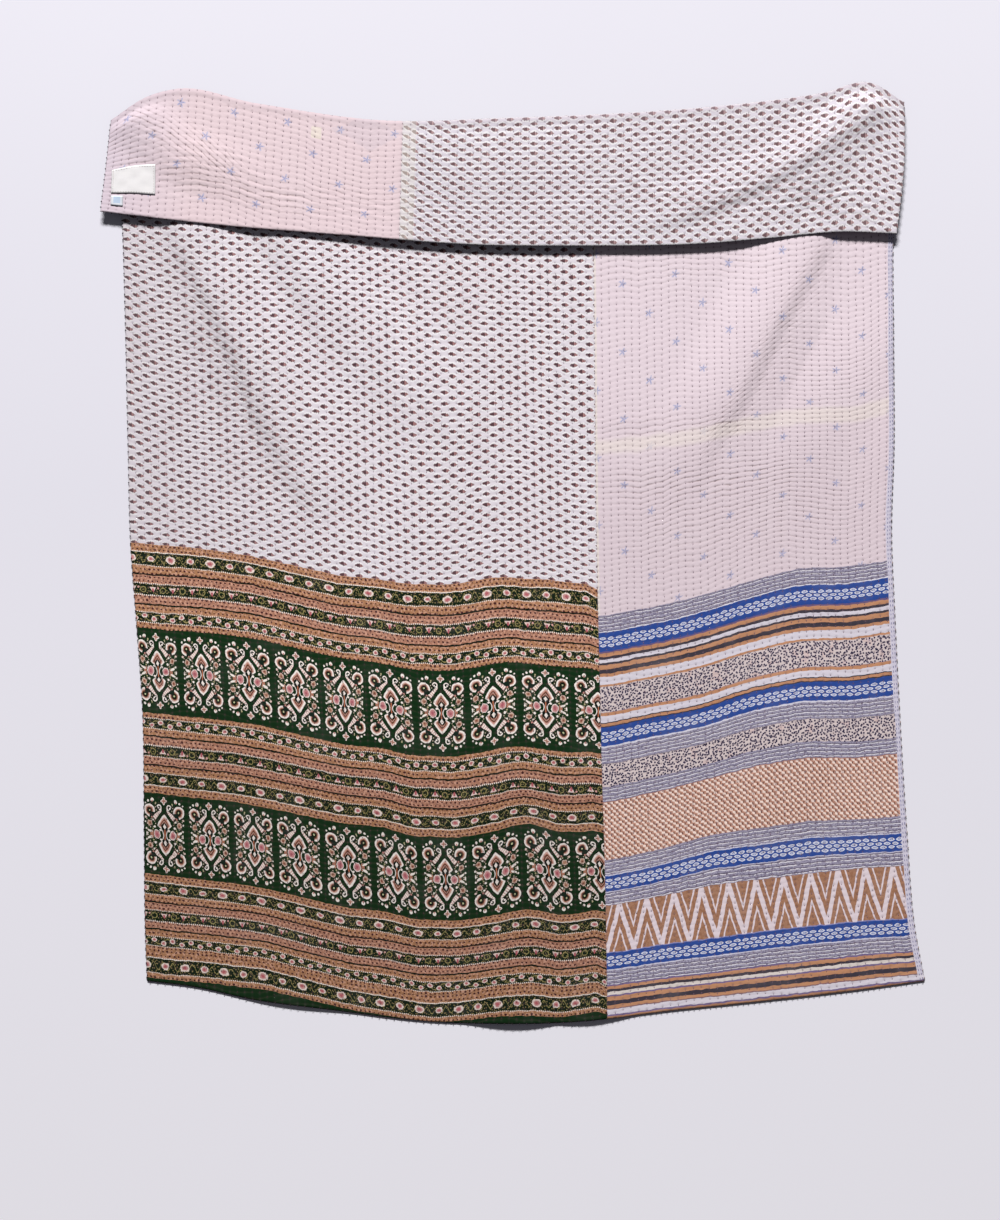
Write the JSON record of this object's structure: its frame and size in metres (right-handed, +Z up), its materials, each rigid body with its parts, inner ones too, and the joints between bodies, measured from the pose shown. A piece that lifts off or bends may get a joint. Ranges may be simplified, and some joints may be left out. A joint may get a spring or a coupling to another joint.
{
  "type": "kantha quilt",
  "caption": "Hand-stitched cotton kantha quilt of old sari panels, laid out face up with its top end folded over to show the back.",
  "frame": {"origin": "middle of the laid quilt's footprint, on the surface that it lies on", "axes": "+Z up out of the surface, +Y towards the folded end, +X to the right, seen from above with the folded end away"},
  "size_m": [1.373, 1.5678, 0.0209],
  "materials": {
    "face_green_cloth": "soft printed cotton, lavender ground with a green and tan border, quilted in close rows of running stitch",
    "face_blue_cloth": "soft printed cotton, pale pink ground with a blue, tan and grey border, quilted in close rows of running stitch",
    "back_pink_cloth": "soft pink cotton with small far-apart faded blue flowers, quilted in close rows of running stitch",
    "back_bud_cloth": "soft printed cotton, lavender-white ground with small dark red buds",
    "label_cloth": "cream cotton tape, plain",
    "care_label_cloth": "thin white satin tape, plain"
  },
  "bodies": {
    "root": {"face_panel_green_border": "face_green_cloth", "face_panel_blue_border": "face_blue_cloth", "back_panel_pink": "back_pink_cloth", "back_panel_bud": "back_bud_cloth", "sewn_label": "label_cloth", "care_label": "care_label_cloth"}
  },
  "joints": []
}
